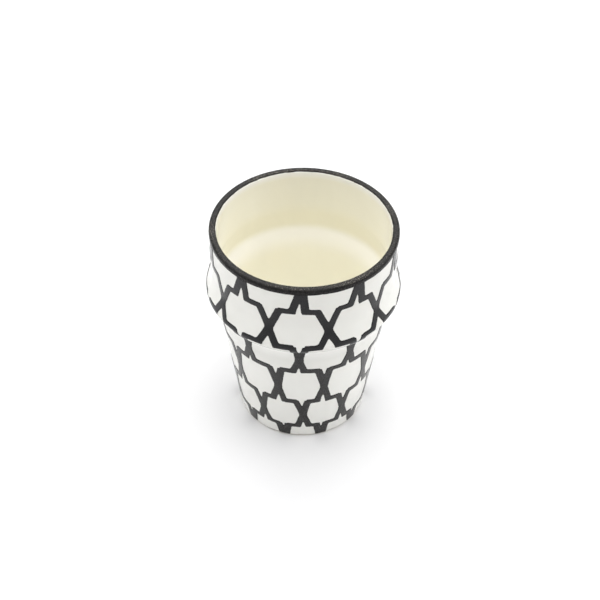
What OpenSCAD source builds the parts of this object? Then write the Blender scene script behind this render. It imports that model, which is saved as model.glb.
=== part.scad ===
// A small coffee cup without a handle, in glazed and painted clay.
// A straight collar swells into a soft belt, steps in under it, and tapers to a ringed foot.
// Inside, a soft ledge stands behind the belt. A painted trellis wraps the outside, and a black band
// covers the lip.
// Millimetres. The cup stands on z = 0 with its axis on z. Angle 0 faces -Y and grows towards +X.

/* [Cup] */
// Height from the table to the top of the lip
cup_h = 82.5; // [80:0.5:90]
// Diameter of the collar and lip
rim_d = 65; // [61:0.5:69]
// Diameter of the foot, before its edge is rounded
foot_d = 46.8; // [43:0.2:52]
// Thickness of the wall, with its glazes
wall_t = 2.4; // [2.1:0.1:3]
// Radius of the lip's inner and outer edges, with a flat between them
lip_r = 0.85; // [0.8:0.05:1]

/* [Belt] */
// Depth below the lip at which the straight collar ends
collar_depth = 17.7; // [15:0.1:19]
// Depth below the lip of the belt's crest
crest_depth = 26.7; // [25.5:0.1:27.5]
// Depth below the crest of the root, where the tapered wall starts
root_drop = 3.4; // [2.8:0.1:5.3]
// How far the crest stands out from the collar, before it is rounded
crest_out = 2.35; // [1.6:0.05:3]
// How far the wall steps in from the crest to the root
step_in = 4.2; // [3.2:0.1:5]
// Radius of the hollow curve from the collar into the belt
collar_r = 12; // [6:0.5:16]
// Radius of the crest
crest_r = 4; // [2:0.1:4.5]
// Radius of the hollow curve at the root
root_r = 2.2; // [1:0.1:3]

/* [Inside] */
// Height of the inside floor over the table
floor_h = 5.2; // [4.6:0.1:8]
// Radius between the inside floor and the tapered wall
floor_r = 6; // [3:0.5:9]
// How far the hollow behind the belt, where the ledge starts, lies above the crest
hollow_rise = 0.5; // [0:0.1:1.7]
// How far the hollow stands out from the inside of the collar
hollow_out = 0.8; // [0.4:0.1:1.2]
// Radius of the hollow
hollow_r = 5; // [2:0.5:7]
// How far the ledge's lower end lies below the root
ledge_drop = 0.9; // [0.4:0.1:1.9]
// Radius of the ledge's lower end
ledge_r = 14; // [6:0.5:20]

/* [Foot] */
// Width of the standing ring
ring_w = 3.4; // [3:0.1:5]
// Height of the recess inside the standing ring
recess_h = 1.6; // [1.2:0.1:2]
// Run of the recess's sloping side
recess_run = 1.2; // [0.8:0.1:1.6]
// Height of the bare clay under the outer glaze
foot_bare_h = 0.8; // [0.6:0.1:1.2]
// Radius of the foot's outer edge
foot_edge_r = 0.3; // [0.1:0.05:0.4]

/* [Glaze and enamel] */
// Thickness of the glaze
glaze_t = 0.3; // [0.2:0.05:0.4]
// Thickness of the black enamel
enamel_t = 0.15; // [0.1:0.01:0.2]
// Distance of the rim band's inner edge from the inside of the wall
rim_band_margin = 0.2; // [0.1:0.05:0.5]
// Height of the rim band down the outside
rim_band_h = 1.9; // [1.5:0.1:2.4]

/* [Trellis] */
// Number of knots in each row
knots = 10; // [9:1:11]
// Depth below the lip of the first row of knots
first_row_depth = 3.1; // [2.8:0.1:3.6]
// Height over the table of the last row of knots
last_row_h = 1.9; // [1.5:0.1:2.5]
// Width of a painted stroke
stroke_w = 2.4; // [1.8:0.1:2.6]
// Width of a knot, where four strokes meet
knot_w = 2.8; // [2.2:0.1:3.1]
// Width of a knot in the first and the last row, which run together
end_knot_w = 4.1; // [3.2:0.1:4.4]
// Height of a knot's upright sides
knot_h = 0.8; // [0.5:0.1:1.2]

/* [Hidden] */

clay_colour = "#d8c6a9";
white_colour = "#e9e9e5";
ivory_colour = "#ece6c8";
black_colour = "#2b2a2a";

// Facets of a full turn, flats in each curve of the profile, and the most that a flat of the lip turns
$fn = 120;
curve_steps = 5;
lip_flat_a = 18;
// Most of a straight run that a curve at one of its ends may use
run_share = 0.48;
// How far a cut runs past the enamel
overrun = 4;
// Angle of the first knot of the trellis from the front
first_knot_a = -1.3;

// Where each row of knots lies between the first and the last
row_shares = [0, 0.197, 0.412, 0.627, 0.846, 1];
// Each painted round, from the top: where its shoulder lies between two rows of knots,
// and how far the legs above and below the shoulder lean, in shares of half the knot spacing
shoulder_shares = [0.43, 0.39, 0.39, 0.49, 0.59];
upper_leg_shares = [0.22, 0.3, 0.2, 0.25, 0.25];
lower_leg_shares = [0.35, 0.18, 0.24, 0.26, 0.23];

rim_r = rim_d / 2;
foot_r = foot_d / 2;
crest_rad = rim_r + crest_out;
root_rad = crest_rad - step_in;
root_depth = crest_depth + root_drop;
hollow_depth = crest_depth - hollow_rise;
ledge_depth = root_depth + ledge_drop;
taper_slope = (root_rad - foot_r) / (cup_h - root_depth);
taper_stretch = norm([1, taper_slope]);
half_spacing_a = 180 / knots;

// Outside and inside radius of the tapered wall at a height over the table
function taper_rad(z) = foot_r + taper_slope * z;
function inner_taper_rad(z) = taper_rad(z) - wall_t * taper_stretch;

function unit(v) = v / norm(v);
function right_of(v) = [v[1], -v[0]];
function part(line, from, to) = [for (i = [from:to]) line[i]];
function backwards(line) = [for (i = [len(line) - 1:-1:0]) line[i]];

// A line at distance d to the right of a line of straight runs, mitred at its corners
function parallel(line, d) = [
  for (i = [0:len(line) - 1])
    let (last = len(line) - 1)
    let (before = unit(i > 0 ? line[i] - line[i - 1] : line[1] - line[0]))
    let (after = unit(i < last ? line[i + 1] - line[i] : line[last] - line[last - 1]))
    let (mid = unit(right_of(before) + right_of(after)))
    line[i] + mid * d / (mid * right_of(before))
];

// The arc that rounds corner b between a and c, no longer than its runs allow
function curve(a, b, c, r) =
  let (to_a = unit(a - b))
  let (to_c = unit(c - b))
  let (half = acos(to_a * to_c) / 2)
  let (reach = min(r / tan(half), run_share * min(norm(a - b), norm(c - b))))
  let (centre = b + unit(to_a + to_c) * reach / cos(half))
  let (arm = b + to_a * reach - centre)
  let (turn = (cross(to_a, to_c) > 0 ? -1 : 1) * (180 - 2 * half))
  [for (i = [0:curve_steps])
    let (t = turn * i / curve_steps)
    centre + [arm[0] * cos(t) - arm[1] * sin(t), arm[0] * sin(t) + arm[1] * cos(t)]];

// An arc of the lip that stands in from the outside: 0 faces outwards, 90 up, 180 inwards
function lip_arc(in_from_outside, from, to) =
  let (steps = ceil(abs(to - from) / lip_flat_a))
  [for (i = [0:steps])
    let (t = from + (to - from) * i / steps)
    [rim_r - in_from_outside + lip_r * cos(t), cup_h - lip_r + lip_r * sin(t)]];

// Corners of the outside and of the inside, from the lip down
outer_corners = [
  [rim_r, cup_h],
  [rim_r, cup_h - collar_depth],
  [crest_rad, cup_h - crest_depth],
  [root_rad, cup_h - root_depth],
  [foot_r, 0]
];
inner_corners = [
  [rim_r - wall_t, cup_h],
  [rim_r - wall_t, cup_h - collar_depth],
  [rim_r - wall_t + hollow_out, cup_h - hollow_depth],
  [inner_taper_rad(cup_h - ledge_depth), cup_h - ledge_depth],
  [inner_taper_rad(floor_h), floor_h],
  [0, floor_h]
];

// The glazed surface as one line: from the middle of the floor, up the inside, over the lip,
// and down the outside to the foot
inside = concat(
  [inner_corners[5]],
  curve(inner_corners[5], inner_corners[4], inner_corners[3], floor_r),
  curve(inner_corners[4], inner_corners[3], inner_corners[2], ledge_r),
  curve(inner_corners[3], inner_corners[2], inner_corners[1], hollow_r),
  curve(inner_corners[2], inner_corners[1], inner_corners[0], collar_r)
);
band_edge_a = acos((rim_band_margin - lip_r) / lip_r);
lip_inside = lip_arc(wall_t - lip_r, 180, band_edge_a);
lip_crown = lip_arc(wall_t - lip_r, band_edge_a, 90);
lip_outside = lip_arc(lip_r, 90, 0);
outside = concat(
  [[rim_r, cup_h - rim_band_h]],
  curve(outer_corners[0], outer_corners[1], outer_corners[2], collar_r),
  curve(outer_corners[1], outer_corners[2], outer_corners[3], crest_r),
  curve(outer_corners[2], outer_corners[3], outer_corners[4], root_r),
  [[taper_rad(foot_bare_h), foot_bare_h]]
);
surface = concat(
  inside,
  lip_inside,
  part(lip_crown, 1, len(lip_crown) - 1),
  [[rim_r - wall_t / 2, cup_h]],
  lip_outside,
  outside
);
clay_line = parallel(surface, glaze_t);
enamel_line = parallel(surface, -enamel_t);

// Places along that line: the rim band's inner edge, the seam of the two glazes under the band,
// the rim band's outer edge, and the end at the foot
at_band_in = len(inside) + len(lip_inside) - 1;
at_seam = at_band_in + len(lip_crown);
at_band_out = at_seam + len(lip_outside) + 1;
at_foot = len(surface) - 1;

// The recess under the foot, from its middle out to the bare ring
ring_inner_rad = foot_r - ring_w;
recess_corner = [ring_inner_rad - recess_run, recess_h];
recess_end = recess_corner + [recess_run, -recess_h] * (recess_h - glaze_t) / recess_h;
recess = concat(
  [[0, recess_h]],
  curve([0, recess_h], recess_corner, recess_end, recess_h),
  [recess_end]
);
recess_clay = parallel(recess, -glaze_t);

// Layer between two lines, as a ring about the axis
module layer(line_a, line_b) {
  rotate_extrude() polygon(concat(line_a, backwards(line_b)));
}

module clay_body() {
  clay_foot = [foot_r - glaze_t * taper_stretch, 0];
  ring_edge = [ring_inner_rad, 0];
  color(clay_colour) layer(
    concat(clay_line, curve(clay_line[at_foot], clay_foot, ring_edge, foot_edge_r), [ring_edge]),
    recess_clay
  );
}

module lining_glaze() {
  color(ivory_colour) layer(part(surface, 0, at_seam), part(clay_line, 0, at_seam));
}

module outer_glaze() {
  color(white_colour) layer(part(surface, at_seam, at_foot), part(clay_line, at_seam, at_foot));
}

module foot_glaze() {
  color(white_colour) layer(recess, recess_clay);
}

module rim_band() {
  color(black_colour)
    layer(part(enamel_line, at_band_in, at_band_out), part(surface, at_band_in, at_band_out));
}

// Height over the table of a row of knots, counted from 0 at the lip
last_row = len(shoulder_shares);
function row_z(row) =
  cup_h - first_row_depth - row_shares[row] * (cup_h - first_row_depth - last_row_h);
function row_knot_w(row) = row == 0 || row == last_row ? end_knot_w : knot_w;

// Outside radius at a height, and the width that a share of half the knot spacing has there
outside_table = [for (p = outside) [p[1], p[0]]];
function outside_rad(z) = lookup(z, outside_table);
function width_at(z, share) = outside_rad(z) * sin(half_spacing_a * share);

// The outside between two heights
function outside_run(top, bottom) = concat(
  [[outside_rad(top), top]],
  [for (p = outside) if (p[1] < top - enamel_t && p[1] > bottom + enamel_t) p],
  [[outside_rad(bottom), bottom]]
);

// White half cell between strokes. It is widest between the knots of the row at wide_z, steps in at
// the shoulder, and ends in a point at the knot of the row at tip_z. side is 1 below the strokes.
function half_cell(wide_z, shoulder_z, tip_z, wide_share, tip_share, knot, side) =
  let (wide_x = width_at(wide_z, 1))
  let (half_line = [
    [width_at(shoulder_z, 1 - wide_share), shoulder_z],
    [width_at(shoulder_z, tip_share), shoulder_z]
  ])
  let (stroke_line = concat(
    [[-wide_x, wide_z]],
    [for (p = half_line) [-p[0], p[1]]],
    [[0, tip_z]],
    backwards(half_line),
    [[wide_x, wide_z]]
  ))
  let (edge = parallel(stroke_line, side * stroke_w / 2))
  let (side_x = wide_x - knot / 2)
  let (side_z = wide_z + side * knot_h / 2)
  let (beyond_z = wide_z - side * overrun)
  concat(
    [[-side_x, beyond_z], [-side_x, side_z]],
    part(edge, 1, len(edge) - 2),
    [[side_x, side_z], [side_x, beyond_z]]
  );

// One half cell cut straight out from inner_rad, repeated round the cup from a first angle
module cell_cuts(cell, first_a, inner_rad) {
  for (i = [0:knots - 1])
    rotate([0, 0, first_a + 2 * half_spacing_a * i])
      translate([0, -inner_rad, 0])
        rotate([90, 0, 0])
          linear_extrude(height = crest_rad + overrun - inner_rad) polygon(cell);
}

// Painted round between two rows of knots: a closed zigzag of legs and shoulders.
// The half cells above it hang between the upper knots, and those below stand between the lower ones.
module trellis_band(row) {
  upper_z = row_z(row - 1);
  lower_z = row_z(row);
  shoulder_z = upper_z - shoulder_shares[row - 1] * (upper_z - lower_z);
  upper_leg = upper_leg_shares[row - 1];
  lower_leg = lower_leg_shares[row - 1];
  hanging = half_cell(upper_z, shoulder_z, lower_z, upper_leg, lower_leg, row_knot_w(row - 1), -1);
  standing = half_cell(lower_z, shoulder_z, upper_z, lower_leg, upper_leg, row_knot_w(row), 1);
  run = outside_run(
    row == 1 ? cup_h - rim_band_h : upper_z,
    row == last_row ? foot_bare_h : lower_z
  );
  // The cuts start just inside the narrowest place of the run, where they still stand clear of each other
  inner_rad = min([for (p = run) p[0]]) * cos(half_spacing_a);
  first_a = first_knot_a + (row % 2 == 1 ? 0 : half_spacing_a);
  color(black_colour) difference() {
    layer(parallel(run, -enamel_t), run);
    cell_cuts(hanging, first_a + half_spacing_a, inner_rad);
    cell_cuts(standing, first_a, inner_rad);
  }
}

module trellis_band_1() {
  trellis_band(1);
}

module trellis_band_2() {
  trellis_band(2);
}

module trellis_band_3() {
  trellis_band(3);
}

module trellis_band_4() {
  trellis_band(4);
}

module trellis_band_5() {
  trellis_band(5);
}

clay_body();
lining_glaze();
outer_glaze();
foot_glaze();
rim_band();
trellis_band_1();
trellis_band_2();
trellis_band_3();
trellis_band_4();
trellis_band_5();
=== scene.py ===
"""A small painted coffee cup on a round white table, dressed over its CAD frame.

Shapes are worked out in millimetres and put into meshes in metres. An angle of 0 faces -Y, towards the
camera, and angles grow towards +X.
"""
import math

import bpy
import numpy as np
from mathutils import Matrix, Vector


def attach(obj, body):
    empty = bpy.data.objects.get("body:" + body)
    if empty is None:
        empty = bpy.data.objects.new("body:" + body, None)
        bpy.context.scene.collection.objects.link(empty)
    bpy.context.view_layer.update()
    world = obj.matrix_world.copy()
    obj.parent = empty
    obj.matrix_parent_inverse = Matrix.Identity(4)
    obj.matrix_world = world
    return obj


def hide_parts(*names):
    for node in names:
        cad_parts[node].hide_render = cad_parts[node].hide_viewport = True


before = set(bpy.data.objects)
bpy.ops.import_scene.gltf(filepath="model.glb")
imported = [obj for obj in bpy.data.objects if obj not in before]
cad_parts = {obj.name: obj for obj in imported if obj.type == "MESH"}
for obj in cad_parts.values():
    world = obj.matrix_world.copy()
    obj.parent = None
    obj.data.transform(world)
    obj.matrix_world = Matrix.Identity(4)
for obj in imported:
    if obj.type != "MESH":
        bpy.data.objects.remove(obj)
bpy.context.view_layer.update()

MM = 0.001

# The cup's own sizes: its wall's corners, as radii from the axis and heights over the table
CUP_H = 82.5
RIM_R = 32.5
FOOT_R = 23.4
WALL_T = 2.4
LIP_R = 0.85
FLOOR_H = 5.2
CREST_R = RIM_R + 2.35
ROOT_R = CREST_R - 4.2
COLLAR_Z = CUP_H - 17.7
CREST_Z = CUP_H - 26.7
ROOT_Z = CUP_H - 30.1
HOLLOW_R = RIM_R - WALL_T + 0.8
HOLLOW_Z = CUP_H - 26.2
LEDGE_Z = CUP_H - 31
# How far each corner is rounded: those of the inside from the floor up, of the outside from the collar down
INNER_CURVES = (6, 14, 5, 12)
OUTER_CURVES = (12, 4, 2.2)
# The bare foot: its height outside, the ring's width, and the recess inside the ring with its sloping side
BARE_H = 0.8
RING_W = 3.4
RECESS_H, RECESS_SLOPE_RUN, RECESS_CURVE = 1.6, 1.2, 1.6
RECESS_BARE_H = 0.3
# Thickness of the glaze and of the enamel, the enamel's ripple, and how deep its back is sunk in the glaze
GLAZE_T = 0.3
ENAMEL_T, ENAMEL_RIPPLE, ENAMEL_SUNK = 0.15, 0.012, 0.05

# The trellis: six rows of knots, with a painted round between each two. A round's strokes lean out from the
# upper knots, run level as a shoulder and lean in to the lower knots.
KNOTS = 10
SPACING = 360 / KNOTS
ROUNDS = 5
FIRST_KNOT = -1.3
KNOT_Z = CUP_H - np.array([3.1, 18.4, 35.0, 51.7, 68.7, 80.6])
# Where each round's shoulder lies, as a share of the way down from its upper knots to its lower ones
SHOULDER_SHARE = (0.43, 0.39, 0.39, 0.49, 0.59)
# How far the legs lean to the right and to the left of a knot, in shares of half the knot spacing
UPPER_LEAN = ((0.15, 0.29), (0.3, 0.3), (0.18, 0.22), (0.25, 0.26), (0.28, 0.23))
LOWER_LEAN = ((0.36, 0.33), (0.205, 0.215), (0.29, 0.18), (0.32, 0.2), (0.27, 0.19))
# Width of each round's upper legs, shoulders and lower legs
STROKE_W = np.array((
    (2.8, 2.4, 2.6),
    (2.6, 2.35, 2.6),
    (2.65, 2.4, 2.7),
    (2.4, 2.45, 2.55),
    (2.55, 2.1, 2.8),
))
# How far upper legs, shoulders and lower legs run on past their two ends, and how much that strays
START_PAST, END_PAST = (0.4, 1.05, 0.45), (0.35, 0.35, 0.4)
PAST_STRAY = (-0.15, 0.3)
# How far the shoulders' ends stray, in degrees and mm, and the widths of strokes, as a share
SHOULDER_STRAY = (0.3, 0.15)
WIDTH_STRAY = 0.05
# Half the width and half the height of each row's knots
KNOT_HALF_W = (1.15, 1.15, 1.45, 1.2, 1.35, 1.4)
KNOT_HALF_H = (2.0, 1.3, 1.3, 1.3, 1.3, 1.3)
# How far the strokes that meet in a knot of the first or the last row stand to its sides, and run past it
TOP_SPLIT, TOP_RUN = 0.7, 1.4
FOOT_SPLIT, FOOT_RUN = 0.75, 1.0
# Where the painter's hand strayed at the front: how far each knot of a row turned, in degrees
FRONT_TURN = (
    (-1.1, 0, -0.5),
    (-5.0, -0.8, -1.0, -1.4, -3.2, 3.5),
    (-1.2, -0.7, -1.2),
    (1.8, 1.6, -0.2, -0.2),
    (4.1, 2.6, 0.8),
    (6.0, 4.3, 1.2, -1.2),
)
# The same knots, and how far each dropped, in mm
FRONT_DROP = (
    (0, 0, 0),
    (0, 0, 0.1, 0.3, 0.1, 0),
    (0, 0, 0),
    (0, 0, -0.5, 0.4),
    (0.5, -0.3, 0.1),
    (0, 0, 0, 0),
)
# Corner radius of a stroke's ends, and how softly strokes melt into each other and into knots
STROKE_CORNER_R = 0.4
STROKE_BLEND, KNOT_BLEND = 0.55, 0.25
# How far in from its edge the enamel reaches its full height, and counts as a whole coat
FILM_EDGE, COAT_EDGE = 0.4, 0.5
# Waves in the strokes' edges and on their tops: height in mm, cells round the cup, pitch along the wall, seed
STROKE_EDGE_WAVES = ((0.05, 150, 1.4, 3), (0.04, 420, 0.5, 4))
STROKE_TOP_WAVE = (1, 260, 0.8, 5)

# The band over the lip: where the solids' band ends inside and outside the cup, how far from there the
# painted edges lie on average, and the waves in them and on top
RIM_BAND_MARGIN, RIM_BAND_DOWN = 0.2, 1.9
RIM_INNER_SHIFT, RIM_OUTER_SHIFT = -0.12, 0.08
RIM_INNER_WAVES = ((0.06, 70, 9, 6), (0.06, 300, 9, 7))
RIM_OUTER_WAVES = ((0.06, 70, 9, 8), (0.04, 260, 9, 9))
RIM_TOP_WAVE = (1, 300, 0.6, 10)
# Length of the band's brush marks once round the cup
RIM_ROUND = 204

# Grids of the painted layers: angles round the cup, the step along the wall, and the band's rows and margins
COLUMNS = 1020
ANGLES = np.arange(COLUMNS) * 360 / COLUMNS
GRID_STEP = 0.2
RIM_ROWS, RIM_IN_MARGIN, RIM_OUT_MARGIN = 36, 0.45, 0.3


# The wall's line


def unit(v):
    return v / np.linalg.norm(v, axis=-1, keepdims=True)


def beside(line, d):
    """A line's points moved d to its right, square to the mean of the runs on either side."""
    run = unit(np.diff(line, axis=0))
    mean = unit(np.vstack((run[:1], run[:-1] + run[1:], run[-1:])))
    right = np.column_stack((mean[:, 1], -mean[:, 0]))
    stretch = np.hstack((1, (mean[1:-1] * run[1:]).sum(1), 1))
    return line + right * (d / stretch)[:, None]


def softened(corners, radii, arc_step=2.0, run_step=1.5, most_of_run=0.48):
    """A line through corners whose inner ones are arcs: each touches both of its runs at radius / tan(half
    the corner's angle) from the corner, or at most_of_run of the shorter run where that is less."""
    corners = np.asarray(corners, float)
    arcs = [corners[:1]]
    for a, b, c, radius in zip(corners, corners[1:], corners[2:], radii):
        to_a, to_c = unit(a - b), unit(c - b)
        half = math.acos(to_a @ to_c) / 2
        shorter = min(np.linalg.norm(a - b), np.linalg.norm(c - b))
        reach = min(radius / math.tan(half), most_of_run * shorter)
        centre = b + unit(to_a + to_c) * reach / math.cos(half)
        arm = b + to_a * reach - centre
        turn = math.copysign(math.pi - 2 * half, -(to_a[0] * to_c[1] - to_a[1] * to_c[0]))
        t = np.linspace(0, turn, 2 + int(abs(math.degrees(turn)) / arc_step))
        x = arm[0] * np.cos(t) - arm[1] * np.sin(t)
        y = arm[0] * np.sin(t) + arm[1] * np.cos(t)
        arcs.append(centre + np.column_stack((x, y)))
    arcs.append(corners[-1:])
    line = [arcs[0]]
    for arc in arcs[1:]:
        last = line[-1][-1]
        share = np.linspace(0, 1, 2 + int(np.linalg.norm(arc[0] - last) / run_step))[1:-1, None]
        line += [last * (1 - share) + arc[0] * share, arc]
    return np.vstack(line)


def lip_arc(in_from_outside, start, end, step=4.0):
    """One of the lip's two edges, from an angle of 180 facing inwards, over 90 on top, to 0 outwards."""
    t = np.radians(np.linspace(start, end, 2 + int(abs(end - start) / step)))
    r = RIM_R - in_from_outside + LIP_R * np.cos(t)
    return np.column_stack((r, CUP_H - LIP_R + LIP_R * np.sin(t)))


TAPER = (ROOT_R - FOOT_R) / ROOT_Z
INNER_FOOT_R = FOOT_R - WALL_T * math.hypot(1, TAPER)
inside = softened(
    (
        (0, FLOOR_H),
        (INNER_FOOT_R + TAPER * FLOOR_H, FLOOR_H),
        (INNER_FOOT_R + TAPER * LEDGE_Z, LEDGE_Z),
        (HOLLOW_R, HOLLOW_Z),
        (RIM_R - WALL_T, COLLAR_Z),
        (RIM_R - WALL_T, CUP_H - LIP_R),
    ),
    INNER_CURVES,
)
outside = softened(
    (
        (RIM_R, CUP_H - LIP_R),
        (RIM_R, COLLAR_Z),
        (CREST_R, CREST_Z),
        (ROOT_R, ROOT_Z),
        (FOOT_R + TAPER * BARE_H, BARE_H),
    ),
    OUTER_CURVES,
)
lip_middle = [(RIM_R - WALL_T / 2, CUP_H)]
lip_in = np.vstack((lip_arc(WALL_T - LIP_R, 180, 90), lip_middle))
lip_out = np.vstack((lip_middle, lip_arc(LIP_R, 90, 0)))

# One line from the middle of the floor, up the inside, over the lip and down the outside, with its length so
# far. SEAM is its point in the middle of the lip, where the two glazes meet, and TOP the lip's outermost one.
LINE = np.vstack((inside[:-1], lip_in, lip_out[1:], outside[1:]))
LENGTH = np.hstack((0, np.cumsum(np.linalg.norm(np.diff(LINE, axis=0), axis=1))))
NORMAL = beside(LINE, -1.0) - LINE
SEAM = len(inside) - 1 + len(lip_in) - 1
TOP = SEAM + len(lip_out) - 1


def along_at(z):
    """Length along the line at which the outside is at height z."""
    return np.interp(-np.asarray(z, float), -LINE[TOP:, 1], LENGTH[TOP:])


def radius_at(z):
    """Radius of the outside at height z."""
    return np.interp(-z, -LINE[TOP:, 1], LINE[TOP:, 0])


def over_wall(angle, along, lift):
    """The point at a length along the line, lifted square off it, and turned about the axis by the angle."""
    r = np.interp(along, LENGTH, LINE[:, 0]) + lift * np.interp(along, LENGTH, NORMAL[:, 0])
    z = np.interp(along, LENGTH, LINE[:, 1]) + lift * np.interp(along, LENGTH, NORMAL[:, 1])
    a = np.radians(angle)
    return np.stack((r * np.sin(a), -r * np.cos(a), z), -1) * MM


# Meshes


def piece(name, points, faces, node, slot, material, crease=65):
    """A closed piece that rides on the cup and stands for one CAD node."""
    mesh = bpy.data.meshes.new(name)
    mesh.from_pydata(points.tolist(), [], faces)
    mesh.polygons.foreach_set("use_smooth", np.ones(len(mesh.polygons), bool))
    mesh.set_sharp_from_angle(angle=math.radians(crease))
    mesh.update()
    obj = bpy.data.objects.new(name, mesh)
    bpy.context.scene.collection.objects.link(obj)
    obj.data.materials.append(material)
    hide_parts(node)
    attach(obj, "root")
    return obj


def turned(line, columns=384):
    """Points and faces of a closed line turned about the axis: (r sin a, -r cos a, z) for each of the line's
    points and each angle a. A line that starts and ends on the axis gets a pole at each end."""
    poles = line[0, 0] < 1e-6
    ring = line[1:-1] if poles else line
    rows = len(ring)
    a = np.radians(np.arange(columns) * 360 / columns)
    r, z = ring[:, :1], ring[:, 1:]
    points = np.stack(np.broadcast_arrays(r * np.sin(a), -r * np.cos(a), z), -1).reshape(-1, 3)
    j = np.arange(columns)
    beyond = (j + 1) % columns
    here = np.arange(rows - 1 if poles else rows)[:, None] * columns
    below = (here + columns) % (rows * columns)
    faces = np.stack((here + j, below + j, below + beyond, here + beyond), -1).reshape(-1, 4).tolist()
    if poles:
        points = np.vstack((points, (0, 0, line[0, 1]), (0, 0, line[-1, 1])))
        first_pole, last_row = np.full(columns, rows * columns), (rows - 1) * columns
        faces += np.column_stack((first_pole, j, beyond)).tolist()
        faces += np.column_stack((last_row + j, first_pole + 1, last_row + beyond)).tolist()
    return points * MM, faces


def drift(angle, along, cells, pitch, seed):
    """Smooth noise from -1 to 1 over the unrolled wall: random values on a lattice of cells round the cup
    and one row every pitch along it, blended by the smooth step 3t^2 - 2t^3."""
    u, v = np.broadcast_arrays(np.mod(angle / 360, 1) * cells, along / pitch)
    i, j = np.floor(v).astype(int), np.floor(u).astype(int)
    lattice = np.random.default_rng(seed).uniform(-1, 1, (int(LENGTH[-1] / pitch) + 3, cells))
    s, t = v - i, u - j
    s, t = s * s * (3 - 2 * s), t * t * (3 - 2 * t)
    j0, j1 = j % cells, (j + 1) % cells
    near = lattice[i, j0] * (1 - t) + lattice[i, j1] * t
    far = lattice[i + 1, j0] * (1 - t) + lattice[i + 1, j1] * t
    return near * (1 - s) + far * s


def waves(angle, along, *each):
    """The sum of drifts, each given as its height, cells, pitch and seed."""
    return sum(height * drift(angle, along, cells, pitch, seed) for height, cells, pitch, seed in each)


def cell_shapes():
    """The painted part of a grid cell, as rings of its points, for each set of painted corners. The corners
    are 0 to 3, and 4 to 7 are where the paint's edge crosses the sides after them. The key has a bit for
    each painted corner. Where two opposite ones are painted, the part falls into two."""
    shapes = {}
    for key in range(1, 16):
        ring = []
        for corner in range(4):
            here, after = key >> corner & 1, key >> (corner + 1) % 4 & 1
            ring += [corner] * here + [corner + 4] * (here != after)
        shapes[key] = [ring]
    shapes[5] = [[0, 4, 7], [2, 6, 5]]
    shapes[10] = [[1, 5, 4], [3, 7, 6]]
    return shapes


CELL_SHAPES = cell_shapes()


def edge_share(inside_by, other, least=0.04):
    """How far on the way to another grid point the field falls to zero, by straight blending, and always a
    little off both points."""
    beyond = inside_by.ravel()[other]
    return np.clip(inside_by / np.where(inside_by == beyond, 1, inside_by - beyond), least, 1 - least)


def closed_film(sheet, count):
    """Faces of a sheet on count points, the same ones turned over on a second set of points, and a strip
    that joins the two sets along each side that only one face has."""
    start = np.concatenate([part.ravel() for part in sheet])
    end = np.concatenate([np.roll(part, -1, 1).ravel() for part in sheet])
    lone = ~np.isin(start * count + end, end * count + start)
    start, end = start[lone], end[lone]
    faces = [face for part in sheet for face in part.tolist()]
    faces += [face for part in sheet for face in (part[:, ::-1] + count).tolist()]
    faces += np.column_stack((end, start, start + count, end + count)).tolist()
    return faces


def painted(name, angle, along, inside_by, lift, brush, coats, node, material):
    """A thin closed film of enamel over the wall, where the field inside_by is above zero on a grid of
    angles (all round) by lengths along the wall. Its edge is the field's zero line. The top is lifted by
    lift, which falls to nothing at the edge, and the back is sunk into the glaze."""
    rows, columns = inside_by.shape
    count = rows * columns
    index = np.arange(count).reshape(rows, columns)
    beyond = np.roll(index, -1, 1)
    below = np.vstack((index[1:], index[-1:]))
    on = inside_by > 0

    # The grid's own points, then the crossings towards the next column, then those towards the next row
    across = angle + edge_share(inside_by, beyond) * (360 / columns)
    down = along + edge_share(inside_by, below) * (along.ravel()[below] - along)
    all_angle = np.concatenate([angle.ravel(), across.ravel(), angle.ravel()])
    all_along = np.concatenate([along.ravel(), along.ravel(), down.ravel()])
    all_lift = np.concatenate([np.where(on, lift, 0).ravel(), np.zeros(2 * count)])
    all_brush = np.concatenate([brush.reshape(-1, 2)] * 3)
    all_coats = np.concatenate([coats.ravel()] * 3)

    a, b, c, d = index[:-1], index[1:], beyond[1:], beyond[:-1]
    cells = np.stack((a, b, c, d, a + 2 * count, b + count, d + 2 * count, a + count), -1).reshape(-1, 8)
    keys = (on.ravel()[cells[:, :4]] * (1, 2, 4, 8)).sum(1)
    sheet = [cells[keys == key][:, shape] for key, shapes in CELL_SHAPES.items() for shape in shapes]

    # Only the points that some face uses are kept, and they are numbered anew
    used, renamed = np.unique(np.concatenate([part.ravel() for part in sheet]), return_inverse=True)
    cuts = np.cumsum([part.size for part in sheet])[:-1]
    sheet = [new.reshape(part.shape) for new, part in zip(np.split(renamed.ravel(), cuts), sheet)]
    points = np.vstack((
        over_wall(all_angle[used], all_along[used], all_lift[used]),
        over_wall(all_angle[used], all_along[used], np.full(len(used), -ENAMEL_SUNK)),
    ))
    obj = piece(name, points, closed_film(sheet, len(used)), node, "black_enamel", material)

    corner = np.empty(len(obj.data.loops), np.int32)
    obj.data.loops.foreach_get("vertex_index", corner)
    uv = np.vstack((all_brush[used],) * 2)[corner]
    obj.data.uv_layers.new(name="brush").data.foreach_set("uv", uv.ravel())
    layer = obj.data.attributes.new("coats", "FLOAT", "POINT")
    layer.data.foreach_set("value", np.tile(all_coats[used], 2))


# The painter's strokes

hand = np.random.default_rng(19)
knot_angle = [
    FIRST_KNOT + SPACING / 2 * (row % 2) + SPACING * np.arange(KNOTS)
    for row in range(ROUNDS + 1)
]


def strayed(row, front):
    """A row's values at its knots: those given at the front, falling off evenly to nothing at the back."""
    known = FIRST_KNOT + SPACING / 2 * (row % 2) + SPACING * (np.arange(len(front)) - len(front) // 2)
    angle = np.mod(knot_angle[row] + 180, 360) - 180
    return np.interp(angle, np.hstack((-180, known, 180)), np.hstack((0, front, 0)))


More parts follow.
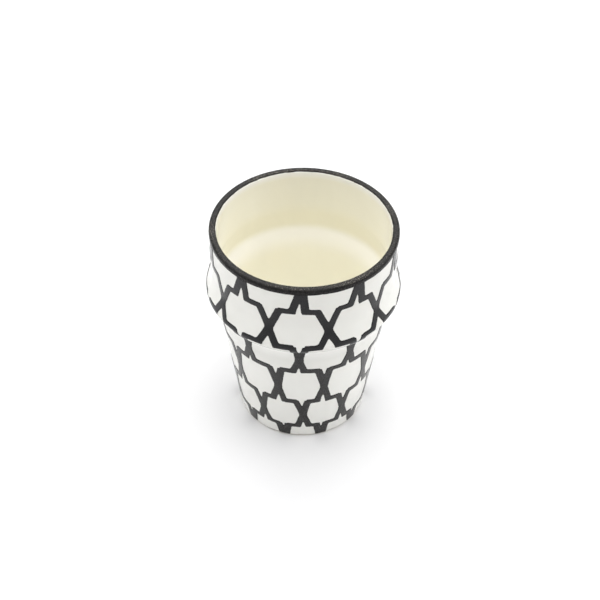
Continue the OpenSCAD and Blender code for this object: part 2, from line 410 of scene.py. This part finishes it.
# How far each knot has turned and risen, how far each shoulder's two ends have strayed, and the width of
# every stroke and how far it runs past its ends
knot_shift = np.array([
    np.column_stack((strayed(row, FRONT_TURN[row]), -strayed(row, FRONT_DROP[row])))
    for row in range(ROUNDS + 1)
])
shoulder_shift = hand.uniform(-1, 1, (ROUNDS, 2 * KNOTS, 2, 2)) * SHOULDER_STRAY
stroke_width = STROKE_W[:, None] * (1 + WIDTH_STRAY * hand.uniform(-1, 1, (ROUNDS, 2 * KNOTS, 3)))
start_past = START_PAST + hand.uniform(*PAST_STRAY, (ROUNDS, 2 * KNOTS, 3))
end_past = END_PAST + hand.uniform(*PAST_STRAY, (ROUNDS, 2 * KNOTS, 3))


def nearest_knot(row, angle):
    """Number of the row's knot that is nearest to each angle."""
    return np.round((angle - knot_angle[row][0]) / SPACING).astype(int) % KNOTS


def half_cells(band):
    """Corners of a round's 20 half cells, as angle and height: an upper knot, the shoulder's two ends, and
    the lower knot beside it. Even half cells run to the right of their upper knot, and odd ones to the
    left."""
    k = np.arange(2 * KNOTS)
    way = 1 - 2 * (k % 2)
    upper = knot_angle[band][0] + SPACING * (k // 2 + k % 2)
    lower = upper + way * SPACING / 2
    path = np.zeros((2 * KNOTS, 4, 2))
    for at, row, angle in ((0, band, upper), (3, band + 1, lower)):
        shift = knot_shift[row][nearest_knot(row, angle)]
        path[:, at, 0] = angle + shift[:, 0]
        path[:, at, 1] = KNOT_Z[row] + shift[:, 1]
    path[:, 1, 0] = path[:, 0, 0] + way * (np.array(UPPER_LEAN[band])[k % 2] * SPACING / 2)
    path[:, 2, 0] = path[:, 3, 0] - way * (np.array(LOWER_LEAN[band])[k % 2] * SPACING / 2)
    path[:, 1:3, 1] = KNOT_Z[band] - SHOULDER_SHARE[band] * (KNOT_Z[band] - KNOT_Z[band + 1])
    path[:, 1:3] += shoulder_shift[band]
    if band == 0:
        path[:, 0, 0] += way * math.degrees(TOP_SPLIT / radius_at(KNOT_Z[0]))
        path[:, 0, 1] += TOP_RUN
    if band == ROUNDS - 1:
        path[:, 3, 0] -= way * math.degrees(FOOT_SPLIT / radius_at(KNOT_Z[ROUNDS]))
        path[:, 3, 1] -= FOOT_RUN
    return path


STROKES = [half_cells(band) for band in range(ROUNDS)]


def turn_between(angle, other):
    """The shortest turn from one angle to another, from -180 to 180."""
    return np.mod(other - angle + 180, 360) - 180


def joined(a, b, blend):
    """The larger of two fields, with the crease between them rounded."""
    h = np.maximum(blend - abs(a - b), 0) / blend
    return np.maximum(a, b) + h * h * blend / 4


def inside_box(u, v, low, high, half_width):
    """How far points lie inside a box with rounded corners, which goes from low to high in u, and half_width
    each way in v."""
    beyond_u = abs(u - (low + high) / 2) - (high - low) / 2 + STROKE_CORNER_R
    beyond_v = abs(v) - half_width + STROKE_CORNER_R
    out = np.hypot(np.maximum(beyond_u, 0), np.maximum(beyond_v, 0))
    return STROKE_CORNER_R - out - np.minimum(np.maximum(beyond_u, beyond_v), 0)


def paint(angle, along, bands):
    """How far each point lies inside the strokes of some rounds, in mm; its place along and across the
    stroke it lies on; and how many coats lie over it. On the unrolled wall each stroke is a box about its
    middle line, and each knot falls off like a cone."""
    far_out = -9.0
    z = np.interp(along, LENGTH, LINE[:, 1])
    r = radius_at(z)
    field, best = np.full(angle.shape, far_out), np.full(angle.shape, far_out)
    coats = np.zeros(angle.shape)
    brush = np.zeros(angle.shape + (2,))
    for band in bands:
        own = np.floor((angle - knot_angle[band][0]) / (SPACING / 2)).astype(int)
        for side in (-1, 0, 1):
            half = (own + side) % (2 * KNOTS)
            path = STROKES[band][half]
            x = np.radians(turn_between(angle[..., None], path[..., 0])) * r[..., None]
            y = path[..., 1] - z[..., None]
            for leg in range(3):
                dx, dy = x[..., leg + 1] - x[..., leg], y[..., leg + 1] - y[..., leg]
                size = np.hypot(dx, dy)
                u = -(x[..., leg] * dx + y[..., leg] * dy) / size
                v = (x[..., leg] * dy - y[..., leg] * dx) / size
                low, high = -start_past[band][half, leg], size + end_past[band][half, leg]
                inner = inside_box(u, v, low, high, stroke_width[band][half, leg] / 2)
                field = joined(field, inner, STROKE_BLEND)
                coats += np.clip(inner / COAT_EDGE, 0, 1)
                nearer = inner > best
                best = np.where(nearer, inner, best)
                # Each stroke starts at a place of its own in the brush marks
                brush[nearer, 0] = (u + 37.0 * half + 11.0 * leg + 97.0 * band)[nearer]
                brush[nearer, 1] = v[nearer]
    for row in range(min(bands), max(bands) + 2):
        near = nearest_knot(row, angle)
        x = np.radians(turn_between(angle, knot_angle[row][near] + knot_shift[row][near, 0])) * r
        y = KNOT_Z[row] + knot_shift[row][near, 1] - z
        cone = (1 - np.hypot(x / KNOT_HALF_W[row], y / KNOT_HALF_H[row])) * KNOT_HALF_W[row]
        field = joined(field, cone, KNOT_BLEND)
    return field, brush * MM, coats


def film_height(inside_by, ripple):
    """Height of the enamel over the glaze: a quarter round at its edge, then nearly level with a faint
    ripple."""
    q = np.clip(inside_by / FILM_EDGE, 0, 1)
    return (ENAMEL_T - ENAMEL_RIPPLE + ENAMEL_RIPPLE * ripple) * np.sqrt(1 - (1 - q) ** 2)


# Finishes


def add(tree, kind, sockets=None, **settings):
    """The outputs of a new shader node. The sockets' values go by name or number, and a value that is itself
    a socket is wired in."""
    made = tree.nodes.new(kind)
    for name, value in settings.items():
        setattr(made, name, value)
    for key, value in (sockets or {}).items():
        if isinstance(value, bpy.types.NodeSocket):
            tree.links.new(value, made.inputs[key])
        else:
            made.inputs[key].default_value = value
    return made.outputs


def reckon(tree, operation, *values):
    """The result of one step of arithmetic."""
    return add(tree, "ShaderNodeMath", dict(enumerate(values)), operation=operation)[0]


def ramp(tree, value, low, high, out_low=0.0, out_high=1.0):
    """A value taken from one range to another and kept inside it."""
    return add(tree, "ShaderNodeMapRange", dict(enumerate((value, low, high, out_low, out_high))))[0]


def blend(tree, share, first, second):
    """A colour between two others."""
    return add(tree, "ShaderNodeMix", {0: share, 6: first, 7: second}, data_type="RGBA")[2]


def noise(tree, place, scale, detail, roughness=0.5):
    """Cloudy noise from about 0 to 1."""
    sockets = {"Vector": place, "Scale": scale, "Detail": detail, "Roughness": roughness}
    return add(tree, "ShaderNodeTexNoise", sockets)["Fac"]


def from_dots(tree, place, scale):
    """Distance from the nearest of scattered points."""
    return add(tree, "ShaderNodeTexVoronoi", {"Vector": place, "Scale": scale})["Distance"]


def own_place(tree):
    """Place on the object, in metres."""
    return add(tree, "ShaderNodeTexCoord")["Object"]


def own_height(tree):
    """Height on the object, in metres."""
    return add(tree, "ShaderNodeSeparateXYZ", {0: own_place(tree)})[2]


def group(name, inputs, outputs):
    """A node group: its tree, the sockets given to it with their usual values, and those it gives out."""
    tree = bpy.data.node_groups.new(name, "ShaderNodeTree")
    for label, value in inputs.items():
        socket = tree.interface.new_socket(label, in_out="INPUT", socket_type="NodeSocketFloat")
        socket.default_value = value
    for label in outputs:
        tree.interface.new_socket(label, in_out="OUTPUT", socket_type="NodeSocketFloat")
    return tree, tree.nodes.new("NodeGroupInput").outputs, tree.nodes.new("NodeGroupOutput").inputs


def glaze_skin():
    """Glaze as it sets: broad pools and thin places, a fine orange peel, and scattered pinholes."""
    usual = {"Pools": 45.0, "Peel": 420.0, "Pinholes": 0.5}
    tree, given, out = group("glaze_skin", usual, ("Thickness", "Height", "Dull"))
    place = own_place(tree)
    pools = noise(tree, place, given["Pools"], detail=3.0, roughness=0.55)
    peel = noise(tree, place, given["Peel"], detail=2.0)
    holes = ramp(tree, from_dots(tree, place, scale=620.0), 0.16, 0.06)
    patches = ramp(tree, noise(tree, place, scale=170.0, detail=0.0), 0.62, 0.7)
    holes = reckon(tree, "MULTIPLY", reckon(tree, "MULTIPLY", holes, patches), given["Pinholes"])
    swell = reckon(tree, "MULTIPLY_ADD", pools, 3.0, peel)
    tree.links.new(ramp(tree, pools, 0.3, 0.7), out["Thickness"])
    tree.links.new(reckon(tree, "SUBTRACT", swell, holes), out["Height"])
    tree.links.new(ramp(tree, peel, 0.3, 0.75), out["Dull"])
    return tree


def brush_marks():
    """Enamel as a brush leaves it: long streaks along the stroke and a fine grain of pigment."""
    usual = {"Length": 260.0, "Width": 2600.0, "Grain": 2600.0}
    tree, given, out = group("brush_marks", usual, ("Streak", "Grain", "Height"))
    stroke = add(tree, "ShaderNodeSeparateXYZ", {0: add(tree, "ShaderNodeUVMap", uv_map="brush")["UV"]})
    u = reckon(tree, "MULTIPLY", stroke[0], given["Length"])
    v = reckon(tree, "MULTIPLY", stroke[1], given["Width"])
    streak = noise(tree, add(tree, "ShaderNodeCombineXYZ", {"X": u, "Y": v})[0], scale=1.0, detail=3.0)
    grain = noise(tree, own_place(tree), given["Grain"], detail=2.0)
    tree.links.new(ramp(tree, streak, 0.34, 0.68), out["Streak"])
    tree.links.new(ramp(tree, grain, 0.42, 0.68), out["Grain"])
    tree.links.new(reckon(tree, "ADD", streak, grain), out["Height"])
    return tree


GLAZE_SKIN, BRUSH_MARKS = glaze_skin(), brush_marks()


def finish(name, **plain):
    """A material with one Principled shader, its tree, and the shader's sockets, some with plain values."""
    material = bpy.data.materials.new(name)
    material.use_nodes = True
    tree = material.node_tree
    shader = tree.nodes["Principled BSDF"].inputs
    for label, value in plain.items():
        shader[label.replace("_", " ")].default_value = value
    return material, tree, shader


def bumped(tree, shader, height, strength, distance):
    """Raises a shader's surface by a height."""
    relief = add(tree, "ShaderNodeBump", {"Height": height, "Strength": strength, "Distance": distance})
    tree.links.new(relief[0], shader["Normal"])


def glaze(name, thick, thin, bands):
    """Glossy glaze whose colour deepens where it pooled. Each band gives another colour and the heights in mm
    where it starts, is full, starts to fade and is gone. Most bands are painted light and painted shade:
    paler where the wall should catch more light, deeper where shade falls. A band can also be paler where the
    glaze ran thin over an edge."""
    material, tree, shader = finish(name, IOR=1.5)
    skin = add(tree, "ShaderNodeGroup", node_tree=GLAZE_SKIN)
    colour = blend(tree, skin["Thickness"], thin, thick)
    height = own_height(tree)
    # Bands over the glaze's colour, mostly painted light and painted shade
    for other, start, full, fade, end in bands:
        rise = ramp(tree, height, start * MM, full * MM)
        fall = ramp(tree, height, end * MM, fade * MM)
        colour = blend(tree, reckon(tree, "MULTIPLY", rise, fall), colour, other)
    tree.links.new(colour, shader["Base Color"])
    tree.links.new(ramp(tree, skin["Dull"], 0, 1, 0.07, 0.16), shader["Roughness"])
    bumped(tree, shader, skin["Height"], strength=0.35, distance=0.00012)
    return material


def brushed(name, ior, rough, relief, **marks):
    """A black enamel but for its colour, and how thin it is, from 0 to 1: its streaks are thin, and less so
    where a second coat lies over the first."""
    material, tree, shader = finish(name, IOR=ior)
    mark = add(tree, "ShaderNodeGroup", marks, node_tree=BRUSH_MARKS)
    coats = add(tree, "ShaderNodeAttribute", attribute_name="coats")["Fac"]
    thin = reckon(tree, "MULTIPLY", mark["Streak"], ramp(tree, coats, 1.0, 1.8, 1.0, 0.35))
    tree.links.new(ramp(tree, mark["Grain"], 0, 1, *rough), shader["Roughness"])
    bumped(tree, shader, mark["Height"], strength=relief, distance=0.0001)
    return material, tree, shader, thin


def trellis_enamel():
    """Black enamel of the strokes, paler where it is thin, and darker on and above the belt than below it:
    painted shade, for the dark floor near the foot that the belt's lower strokes mirror.
    """
    material, tree, shader, thin = brushed("trellis_enamel", ior=1.34, rough=(0.12, 0.24), relief=0.3)
    # Painted shade: the black is darker on and above the belt than below it
    shaded_black_above = blend(tree, thin, (0.003, 0.003, 0.004, 1), (0.012, 0.012, 0.013, 1))
    plain_black_below = blend(tree, thin, (0.014, 0.0135, 0.013, 1), (0.027, 0.026, 0.025, 1))
    below_belt = ramp(tree, own_height(tree), CREST_Z * MM, (ROOT_Z - 1) * MM)
    tree.links.new(blend(tree, below_belt, shaded_black_above, plain_black_below), shader["Base Color"])
    return material


def rim_enamel():
    """Black enamel of the band over the lip, duller and browner, with fine grey specks in patches on top: a
    painted highlight, for the broken gleam along the lip's top.
    """
    marks = {"Length": 500.0, "Width": 1500.0, "Grain": 1800.0}
    material, tree, shader, thin = brushed("rim_enamel", ior=1.25, rough=(0.12, 0.4), relief=1.0, **marks)
    colour = blend(tree, thin, (0.004, 0.004, 0.004, 1), (0.018, 0.016, 0.014, 1))
    place = own_place(tree)
    # Painted highlight: pale grey specks in patches on the lip's top, where its broken gleam would be
    patches = ramp(tree, noise(tree, place, scale=60.0, detail=1.0), 0.35, 0.65, -0.1, 0.05)
    specks_and_gleam = reckon(tree, "ADD", noise(tree, place, scale=2600.0, detail=2.0), patches)
    on_top = ramp(tree, own_height(tree), (CUP_H - 0.35) * MM, (CUP_H + 0.05) * MM)
    specks_and_gleam = reckon(tree, "MULTIPLY", ramp(tree, specks_and_gleam, 0.57, 0.66), on_top)
    tree.links.new(blend(tree, specks_and_gleam, colour, (0.12, 0.11, 0.092, 1)), shader["Base Color"])
    return material


def bare_clay():
    """Fired clay: pale buff with a fine grit, darker specks and a dry surface."""
    material, tree, shader = finish("bare_clay", IOR=1.45)
    place = own_place(tree)
    cloud = noise(tree, place, scale=160.0, detail=5.0)
    colour = blend(tree, ramp(tree, cloud, 0.35, 0.65), (0.66, 0.60, 0.51, 1), (0.74, 0.69, 0.61, 1))
    specks_and_gleam = ramp(tree, from_dots(tree, place, scale=1100.0), 0.12, 0.05, 0, 0.6)
    tree.links.new(blend(tree, specks_and_gleam, colour, (0.36, 0.28, 0.2, 1)), shader["Base Color"])
    tree.links.new(ramp(tree, cloud, 0.3, 0.7, 0.75, 0.95), shader["Roughness"])
    grit = noise(tree, place, scale=2400.0, detail=3.0)
    bumped(tree, shader, grit, strength=0.6, distance=0.00015)
    return material


# The outside is palest under the belt, painted light that cancels the shade under its overhang, and a little
# paler on the lower wall than on the collar, painted light there too
white_glaze = glaze("white_glaze", (0.835, 0.83, 0.78, 1), (0.885, 0.88, 0.835, 1), (
    # Painted light: paler on the lower wall
    ((0.9, 0.895, 0.85, 1), -2, -1, 36, 50),
    # Painted light: palest under the belt, against the shade there
    ((0.96, 0.955, 0.915, 1), 47, 51, 54.4, 55.4),
))
# The inside is pale on its ledge, a painted highlight where the ledge faces up; deeper in the hollow over it,
# painted shade; pale again at the lip, where the glaze ran thin; and pale deep inside, painted light
ivory_glaze = glaze("ivory_glaze", (0.93, 0.9, 0.775, 1), (0.95, 0.93, 0.815, 1), (
    # Painted highlight on the upward-facing ledge
    ((0.945, 0.925, 0.86, 1), 47, 53, 55, 57.5),
    # Painted shade in the hollow over the ledge
    ((0.94, 0.905, 0.755, 1), 56, 58.5, 63, 68),
    ((0.975, 0.97, 0.935, 1), CUP_H - 3.2, CUP_H - 1.3, CUP_H + 1, CUP_H + 2),
    # Painted light deep inside
    ((0.96, 0.94, 0.835, 1), -2, -1, 25, 42),
))
stroke_black, rim_black = trellis_enamel(), rim_enamel()
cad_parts["clay_body"].data.materials.clear()
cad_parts["clay_body"].data.materials.append(bare_clay())


# The cup


def coat_line(first, last):
    """Closed line of a glaze layer: the surface from one of its points to another, and back along the clay,
    where every third point is enough."""
    back = beside(LINE, GLAZE_T)[first:last + 1][::-1]
    keep = np.r_[0, np.arange(1, len(back) - 1, 3), len(back) - 1]
    return np.vstack((LINE[first:last + 1], back[keep]))


def recess_line():
    """Closed line of the glaze under the foot: the recess's roof, the glazed part of its sloping side, and
    back along the clay."""
    ring_in = FOOT_R - RING_W
    slope_end = ring_in - RECESS_SLOPE_RUN * RECESS_BARE_H / RECESS_H
    corners = ((0, RECESS_H), (ring_in - RECESS_SLOPE_RUN, RECESS_H), (slope_end, RECESS_BARE_H))
    face = softened(corners, (RECESS_CURVE,))
    return np.vstack((face, beside(face, -GLAZE_T)[::-1]))


def trellis_round(band):
    """One painted round, from its upper row of knots to its lower one. The first starts under the lip's band
    and the last ends over the bare foot. Strokes of the rounds above and below reach into it."""
    top = CUP_H - RIM_BAND_DOWN if band == 0 else KNOT_Z[band]
    bottom = BARE_H if band == ROUNDS - 1 else KNOT_Z[band + 1]
    start, end = along_at(top), along_at(bottom)
    steps = np.linspace(start, end, 2 + int((end - start) / GRID_STEP))
    along, angle = np.meshgrid(steps, ANGLES, indexing="ij")
    near = [other for other in (band - 1, band, band + 1) if 0 <= other < ROUNDS]
    field, brush, coats = paint(angle, along, near)
    field += waves(angle, along, *STROKE_EDGE_WAVES)
    lift = film_height(field, waves(angle, along, STROKE_TOP_WAVE))
    name, stands_for = f"trellis_round_{band + 1}", f"trellis_band_{band + 1}"
    painted(name, angle, along, field, lift, brush, coats, stands_for, stroke_black)


def rim_round():
    """The band over the lip, between two edges that waver round the cup."""
    inner_lip = slice(len(inside), SEAM)
    start = np.interp(RIM_R - WALL_T + RIM_BAND_MARGIN, LINE[inner_lip, 0], LENGTH[inner_lip])
    end = along_at(CUP_H - RIM_BAND_DOWN)
    steps = np.linspace(start - RIM_IN_MARGIN, end + RIM_OUT_MARGIN, RIM_ROWS)
    along, angle = np.meshgrid(steps, ANGLES, indexing="ij")
    inner_edge = start + RIM_INNER_SHIFT + waves(angle, along * 0, *RIM_INNER_WAVES)
    outer_edge = end + RIM_OUTER_SHIFT + waves(angle, along * 0, *RIM_OUTER_WAVES)
    field = np.minimum(along - inner_edge, outer_edge - along)
    lift = film_height(field, waves(angle, along, RIM_TOP_WAVE))
    brush = np.stack((angle / 360 * RIM_ROUND * MM, along * MM), -1)
    coats = np.ones(angle.shape)
    painted("rim_round", angle, along, field, lift, brush, coats, "rim_band", rim_black)


lining, outer = turned(coat_line(0, SEAM)), turned(coat_line(SEAM, len(LINE) - 1))
piece("ivory_lining", *lining, "lining_glaze", "ivory_glaze", ivory_glaze, crease=40)
piece("white_outside", *outer, "outer_glaze", "white_glaze", white_glaze, crease=40)
piece("foot_recess_glaze", *turned(recess_line()), "foot_glaze", "white_glaze", white_glaze, crease=40)
for band in range(ROUNDS):
    trellis_round(band)
rim_round()


# Table, light and camera, in metres and watts

# The table lies a hair under the foot, so that the two faces never share a plane
TABLE_R, TABLE_Z = 1.25, -0.00002
# Place, aim, size and power of each lamp
LAMPS = {
    "ceiling": ((0, 0.45, 1.6), (0, 0.45, 0), (2.2, 2.8), 42),
    "back_panel": ((0, 1.2, 1.6), (0, 0, 0.04), (1.4, 1.4), 5.5),
    "left_panel": ((-1.4, 0, 1.0), (0, 0, 0.04), (1.2, 1.2), 5.2),
    "right_panel": ((1.4, 0, 1.0), (0, 0, 0.04), (1.2, 1.2), 7.9),
}
# Strength of the white all round, as light and where the camera, gloss or glass sees it
GLOW, GLOW_SEEN = 0.31, 1.0
CAMERA_AT = (0, -0.32686, 0.36025)
YAW, PITCH, ROLL = math.radians(-0.2), math.radians(43.74), math.radians(0.73)
LENS, SENSOR_W = 75.42, 36


def white_sweep():
    """A round white table, matt, with the cup's own soft shadow on it: points (r cos t, r sin t, z)."""
    mesh = bpy.data.meshes.new("white_sweep")
    t = np.radians(np.arange(0, 360, 5))
    edge = TABLE_R * np.column_stack((np.cos(t), np.sin(t), 0 * t)) + (0, 0, TABLE_Z)
    mesh.from_pydata(edge.tolist(), [], [list(range(len(edge)))])
    sweep = bpy.data.objects.new("white_sweep", mesh)
    bpy.context.scene.collection.objects.link(sweep)
    material, tree, shader = finish("white_paper", Roughness=0.9, Specular_IOR_Level=0.0)
    cloud = noise(tree, own_place(tree), scale=30.0, detail=2.0)
    colour = blend(tree, cloud, (0.815, 0.815, 0.82, 1), (0.835, 0.835, 0.84, 1))
    tree.links.new(colour, shader["Base Color"])
    mesh.materials.append(material)


def soft_box(name, at, aim, size, power):
    """A lamp as wide and long as its size, turned towards its aim."""
    light = bpy.data.lights.new(name, "AREA")
    light.shape = "RECTANGLE"
    light.size, light.size_y = size
    light.energy = power
    lamp = bpy.data.objects.new(name, light)
    lamp.location = at
    lamp.rotation_euler = (Vector(aim) - Vector(at)).to_track_quat("-Z", "Y").to_euler()
    bpy.context.scene.collection.objects.link(lamp)


def white_tent():
    """White all round: bright for the camera and for gloss, and weaker as light."""
    world = bpy.data.worlds.new("white_tent")
    bpy.context.scene.world = world
    world.use_nodes = True
    tree = world.node_tree
    light = tree.nodes["Background"].inputs
    light["Color"].default_value = (1, 1, 1, 1)
    ray = add(tree, "ShaderNodeLightPath")
    seen = reckon(tree, "MAXIMUM", ray["Is Camera Ray"], ray["Is Glossy Ray"])
    seen = reckon(tree, "MAXIMUM", seen, ray["Is Transmission Ray"])
    tree.links.new(ramp(tree, seen, 0, 1, GLOW, GLOW_SEEN), light["Strength"])


def camera():
    """The photograph's own view: its focal length, height and slight roll."""
    ahead = Vector((math.sin(YAW) * math.cos(PITCH), math.cos(YAW) * math.cos(PITCH), -math.sin(PITCH)))
    level = ahead.cross(Vector((0, 0, 1))).normalized()
    square = level.cross(ahead)
    right = level * math.cos(ROLL) + square * math.sin(ROLL)
    up = square * math.cos(ROLL) - level * math.sin(ROLL)
    view = bpy.data.cameras.new("camera")
    view.lens, view.sensor_width = LENS, SENSOR_W
    eye = bpy.data.objects.new("camera", view)
    turn = Matrix((right, up, -ahead)).transposed().to_4x4()
    eye.matrix_world = Matrix.Translation(CAMERA_AT) @ turn
    bpy.context.scene.collection.objects.link(eye)
    bpy.context.scene.camera = eye


white_sweep()
white_tent()
for name, facts in LAMPS.items():
    soft_box(name, *facts)
camera()
bpy.context.scene.view_settings.view_transform = "Standard"
